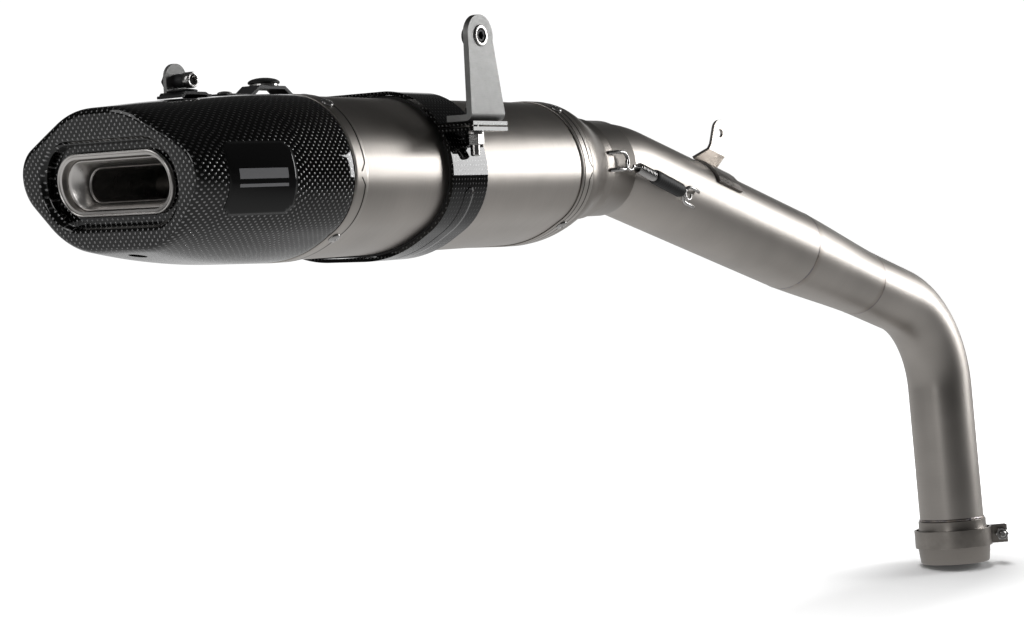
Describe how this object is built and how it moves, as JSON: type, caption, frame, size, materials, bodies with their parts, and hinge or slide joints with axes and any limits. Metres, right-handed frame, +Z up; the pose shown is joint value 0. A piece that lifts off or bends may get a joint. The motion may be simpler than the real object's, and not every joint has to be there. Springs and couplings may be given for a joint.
{
  "type": "motorcycle racing exhaust",
  "caption": "Under-seat racing exhaust: flat six-sided silencer with carbon end cap, strap hanger, spring slip joint and clamped link pipe.",
  "frame": {"origin": "centre of the inlet collar's mouth", "axes": "+X towards the front of the motorcycle, along the silencer from outlet to inlet; +Y to its left; +Z up, square to the silencer"},
  "size_m": [0.9252, 0.252, 0.4567],
  "materials": {
    "titanium": "brushed titanium, satin, warm grey",
    "dark_titanium": "titanium, heat darkened",
    "carbon": "plain weave carbon fibre under gloss clear coat",
    "alloy": "bead blasted aluminium",
    "steel": "bright zinc plated or stainless steel",
    "black_steel": "black coated steel",
    "rubber": "matt black rubber",
    "packing": "glass wool silencing mat"
  },
  "bodies": {
    "root": {"link_pipe_front": "titanium", "link_pipe_cone": "titanium", "link_pipe_elbow": "titanium", "inlet_collar": "dark_titanium", "pipe_saddle": "titanium", "pipe_tab": "titanium", "pipe_lug_left": "steel", "pipe_lug_right": "steel"},
    "silencer": {"silencer_sleeve": "titanium", "rear_band": "titanium", "front_band": "titanium", "end_cap": "carbon", "outlet_tube": "titanium", "outlet_insert": "titanium", "core_tube": "steel", "rear_baffle": "titanium", "front_baffle": "titanium", "packing": "packing", "inlet_cap": "dark_titanium", "inlet_stub": "dark_titanium", "rivet_rear_left_upper": "steel", "rivet_rear_left_lower": "steel", "rivet_rear_right_upper": "steel", "rivet_rear_right_lower": "steel", "rivet_front_left_upper": "steel", "rivet_front_left_lower": "steel", "rivet_front_right_upper": "steel", "rivet_front_right_lower": "steel", "top_bracket": "black_steel", "top_washer": "steel", "top_button": "rubber", "top_rivet_rear": "steel", "top_rivet_front": "steel", "rear_bracket": "black_steel", "rear_button": "rubber", "rear_tab": "alloy", "rear_spacer": "black_steel", "rear_nut": "steel", "stub_lug_left": "steel", "stub_lug_right": "steel"},
    "strap": {"strap_clamp": "carbon", "strap_liner": "rubber", "hanger_bracket": "alloy", "hanger_bush": "steel", "strap_washer": "steel", "strap_nut": "steel"},
    "strap_bolt": {"strap_bolt": "steel"},
    "hanger_bolt": {"hanger_bolt": "black_steel"},
    "insert_screw": {"insert_screw": "black_steel"},
    "rear_bolt": {"rear_bolt": "steel"},
    "clamp": {"collar_clamp": "dark_titanium", "clamp_nut": "steel"},
    "clamp_bolt": {"clamp_bolt": "steel"},
    "spring_right": {"spring_right": "steel", "spring_sleeve_right": "rubber"},
    "spring_left": {"spring_left": "steel", "spring_sleeve_left": "rubber"}
  },
  "joints": [
    {"name": "silencer_swivel", "type": "hinge", "parent": "root", "child": "silencer", "pos_m": [-0.47, 0.082, 0.36], "axis": [1, 0, 0], "range_deg": [-4, 4]},
    {"name": "strap_slide", "type": "slide", "parent": "silencer", "child": "strap", "axis": [1, 0, 0], "range_m": [-0.02, 0.03]},
    {"name": "strap_bolt_turn", "type": "hinge", "parent": "strap", "child": "strap_bolt", "pos_m": [-0.661, 0.0265, 0.357], "axis": [0, 0, 1], "continuous": true},
    {"name": "hanger_bolt_turn", "type": "hinge", "parent": "strap", "child": "hanger_bolt", "pos_m": [-0.6645, 0.018, 0.441], "axis": [0, 1, 0], "continuous": true},
    {"name": "insert_screw_turn", "type": "hinge", "parent": "silencer", "child": "insert_screw", "pos_m": [-0.863, 0.12, 0.3452], "axis": [0, 0, -1], "continuous": true},
    {"name": "rear_bolt_turn", "type": "hinge", "parent": "silencer", "child": "rear_bolt", "pos_m": [-0.817, 0.129, 0.4168], "axis": [0, -1, 0], "continuous": true},
    {"name": "clamp_swivel", "type": "hinge", "parent": "root", "child": "clamp", "pos_m": [0, 0, 0], "axis": [0.0482, 0.0836, 0.9953], "range_deg": [-90, 90]},
    {"name": "clamp_bolt_turn", "type": "hinge", "parent": "clamp", "child": "clamp_bolt", "pos_m": [0.02555, -0.03211, 0.02356], "axis": [0.8099, 0.5799, -0.0879], "continuous": true},
    {"name": "spring_right_swing", "type": "hinge", "parent": "root", "child": "spring_right", "pos_m": [-0.3792, 0.03655, 0.33636], "axis": [0, 1, 0], "range_deg": [-2.5, 2.5]},
    {"name": "spring_left_swing", "type": "hinge", "parent": "root", "child": "spring_left", "pos_m": [-0.36729, 0.11718, 0.33636], "axis": [0, 1, 0], "range_deg": [-2.5, 2.5]}
  ],
  "couplings": [
    {"joint": "spring_right_swing", "follows": "silencer_swivel", "ratio": -0.4811},
    {"joint": "spring_left_swing", "follows": "silencer_swivel", "ratio": 0.4581}
  ]
}
